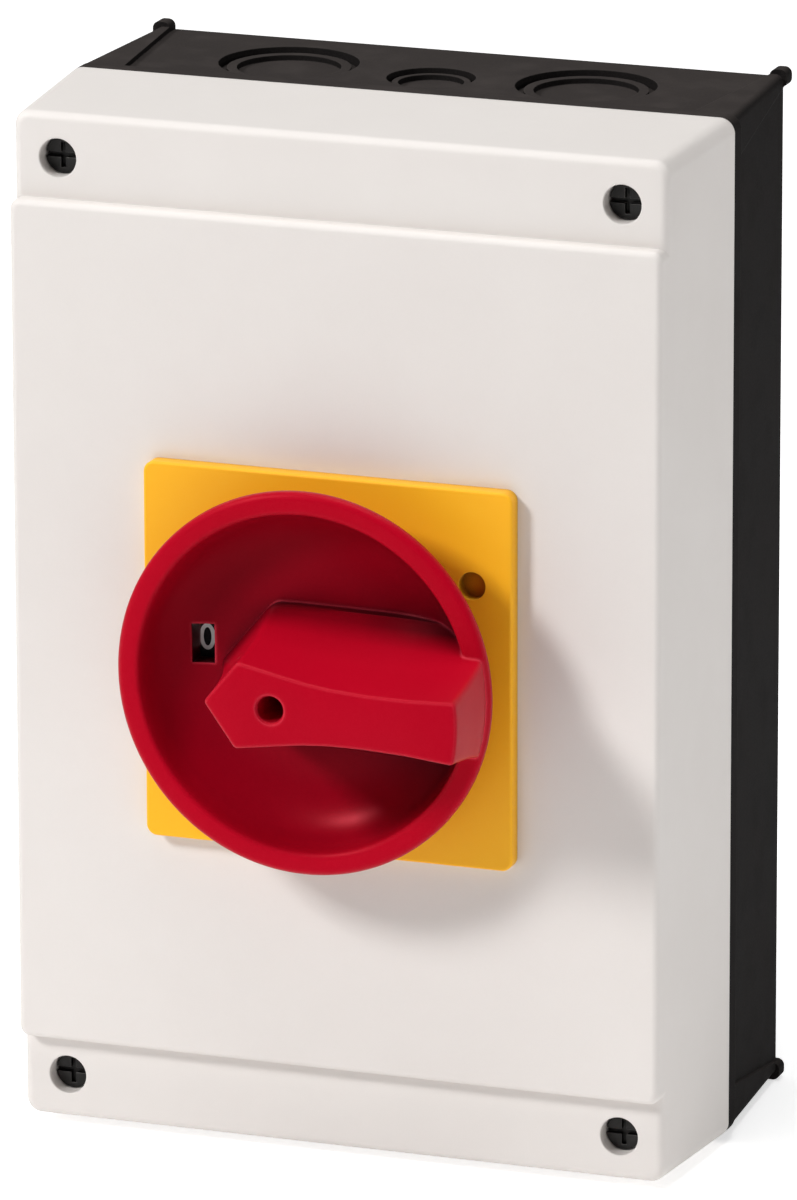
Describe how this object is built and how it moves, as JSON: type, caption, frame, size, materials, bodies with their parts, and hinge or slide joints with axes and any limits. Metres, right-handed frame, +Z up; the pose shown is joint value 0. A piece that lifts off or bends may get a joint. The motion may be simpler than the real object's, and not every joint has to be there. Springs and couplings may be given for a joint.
{
  "type": "rotary isolator switch",
  "caption": "Wall-mounted rotary isolator switch in a two-part enclosure, with a red lockable knob on a yellow plate that turns a square shaft and cam-driven contacts.",
  "frame": {"origin": "centre of the enclosure's flat back face, where it lies on the wall", "axes": "+X to the right seen from the front, +Y into the wall, so the knob faces -Y, +Z up along the tall side"},
  "size_m": [0.16, 0.1351, 0.2418],
  "materials": {
    "base_black": "moulded black plastic, fine grain",
    "cover_grey": "moulded light grey plastic, fine grain",
    "plate_yellow": "moulded yellow plastic, satin",
    "knob_red": "moulded red plastic, semi-gloss",
    "tongue_red": "moulded red plastic",
    "indicator_black": "black disc with white marks",
    "switch_plastic": "glass-filled black thermoset",
    "cam_plastic": "natural acetal",
    "seal_rubber": "foamed seal, matt",
    "screw_steel": "zinc-plated screw steel",
    "zinc_steel": "zinc-plated sheet and bar steel",
    "spring_steel": "bare spring steel",
    "brass": "turned brass",
    "copper": "stamped copper alloy with silvered tips"
  },
  "bodies": {
    "base": {"enclosure_base": "base_black", "threaded_inserts": "brass", "mounting_plate": "zinc_steel", "mounting_plate_screws": "screw_steel", "switch_rear_plate": "switch_plastic", "switch_fixing_screws": "screw_steel", "contact_chamber_1": "switch_plastic", "contact_chamber_2": "switch_plastic", "contact_chamber_3": "switch_plastic", "fixed_contacts_1": "copper", "fixed_contacts_2": "copper", "fixed_contacts_3": "copper", "contact_spring_1": "spring_steel", "contact_spring_2": "spring_steel", "contact_spring_3": "spring_steel", "terminal_clamps": "zinc_steel", "terminal_screws": "screw_steel", "latch_housing": "switch_plastic", "latch_cover": "switch_plastic", "index_springs": "spring_steel", "tie_screws": "screw_steel", "earth_terminal": "brass", "earth_screws": "screw_steel"},
    "cover": {"enclosure_cover": "cover_grey", "cover_seal": "seal_rubber", "cover_screws": "screw_steel", "screw_washers": "seal_rubber", "front_plate": "plate_yellow", "plate_screws": "screw_steel", "hub_bush": "switch_plastic", "hub_seal": "seal_rubber", "indicator_ring": "indicator_black"},
    "handle": {"handle_knob": "knob_red", "drive_socket": "switch_plastic", "handle_screw": "screw_steel", "hub_clip": "spring_steel"},
    "padlock_tongue": {"padlock_tongue": "tongue_red"},
    "shaft": {"switch_shaft": "zinc_steel", "cam_1": "cam_plastic", "cam_2": "cam_plastic", "cam_3": "cam_plastic", "index_cam": "cam_plastic", "shaft_ring": "screw_steel"},
    "bridge_1": {"contact_bridge_1": "copper", "plunger_1": "cam_plastic"},
    "bridge_2": {"contact_bridge_2": "copper", "plunger_2": "cam_plastic"},
    "bridge_3": {"contact_bridge_3": "copper", "plunger_3": "cam_plastic"}
  },
  "joints": [
    {"name": "cover_lift", "type": "slide", "parent": "base", "child": "cover", "axis": [0, -1, 0], "range_m": [0, 0.12]},
    {"name": "handle_turn", "type": "hinge", "parent": "cover", "child": "handle", "pos_m": [0, -0.1, -0.002], "axis": [0, 1, 0], "range_deg": [0, 90]},
    {"name": "shaft_turn", "type": "hinge", "parent": "base", "child": "shaft", "pos_m": [0, -0.05, -0.002], "axis": [0, 1, 0], "range_deg": [0, 90], "deforming": ["index_springs"]},
    {"name": "padlock_slide", "type": "slide", "parent": "handle", "child": "padlock_tongue", "axis": [0, 0, -1], "range_m": [0, 0.012]},
    {"name": "bridge_1_slide", "type": "slide", "parent": "base", "child": "bridge_1", "axis": [-1, 0, 0], "range_m": [0, 0.0041], "deforming": ["contact_spring_1"]},
    {"name": "bridge_2_slide", "type": "slide", "parent": "base", "child": "bridge_2", "axis": [1, 0, 0], "range_m": [0, 0.0041], "deforming": ["contact_spring_2"]},
    {"name": "bridge_3_slide", "type": "slide", "parent": "base", "child": "bridge_3", "axis": [-1, 0, 0], "range_m": [0, 0.0041], "deforming": ["contact_spring_3"]}
  ],
  "couplings": [
    {"joint": "shaft_turn", "follows": "handle_turn", "ratio": 1},
    {"joint": "bridge_1_slide", "follows": "handle_turn", "m_per_rad": 0.0025465},
    {"joint": "bridge_2_slide", "follows": "handle_turn", "m_per_rad": 0.0025465},
    {"joint": "bridge_3_slide", "follows": "handle_turn", "m_per_rad": 0.0025465}
  ]
}
